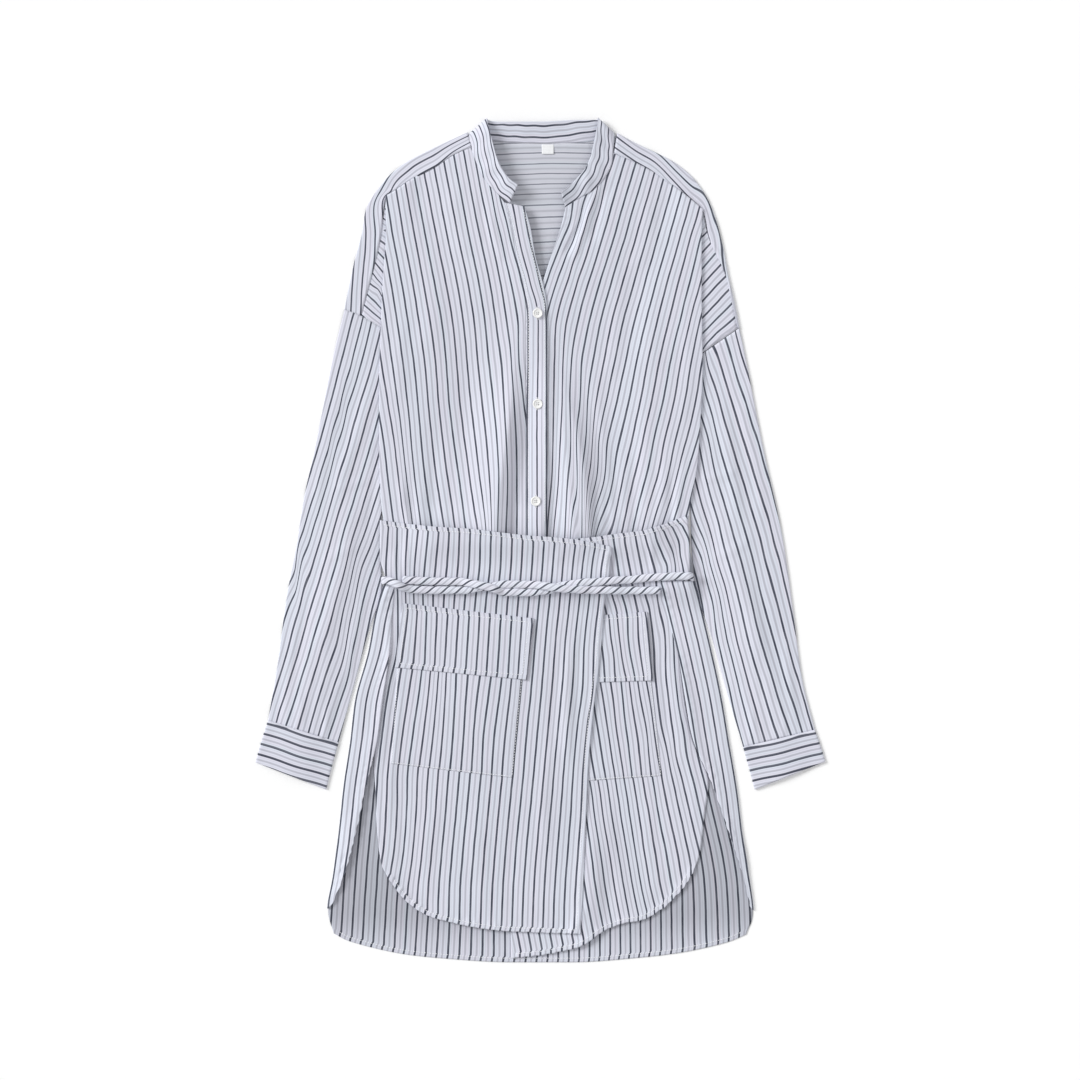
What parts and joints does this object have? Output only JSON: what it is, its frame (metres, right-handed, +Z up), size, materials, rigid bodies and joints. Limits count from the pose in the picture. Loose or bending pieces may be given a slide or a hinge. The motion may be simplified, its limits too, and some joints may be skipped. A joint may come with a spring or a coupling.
{
  "type": "shirt dress",
  "caption": "Striped cotton shirt dress laid out flat: band collar, buttoned placket, long cuffed sleeves, belted waist, wrapped skirt with patch pockets and side slits.",
  "frame": {"origin": "middle of the bounding box's bottom, on the surface that the dress lies on", "axes": "+Z up from that surface, out of the dress's front; +Y from the hem to the collar; +X to the wearer's left"},
  "size_m": [0.6038, 0.8946, 0.021],
  "materials": {
    "striped_poplin": "matt woven cotton poplin, white with fine slate and grey stripes",
    "belt_poplin": "the same striped poplin cut on the bias and sewn into a soft cord",
    "button": "glossy white with a pearl sheen",
    "tape": "matt white woven tape"
  },
  "bodies": {
    "root": {"yoke": "striped_poplin", "collar_band": "striped_poplin", "front_right": "striped_poplin", "front_left": "striped_poplin", "placket": "striped_poplin", "bodice_back": "striped_poplin", "sleeve_right": "striped_poplin", "sleeve_left": "striped_poplin", "cuff_right": "striped_poplin", "cuff_left": "striped_poplin", "skirt_over": "striped_poplin", "skirt_under": "striped_poplin", "skirt_back": "striped_poplin", "pocket_over": "striped_poplin", "pocket_flap_over": "striped_poplin", "pocket_under": "striped_poplin", "pocket_flap_under": "striped_poplin", "belt": "belt_poplin", "button_1": "button", "button_2": "button", "button_3": "button", "size_label": "tape"}
  },
  "joints": []
}
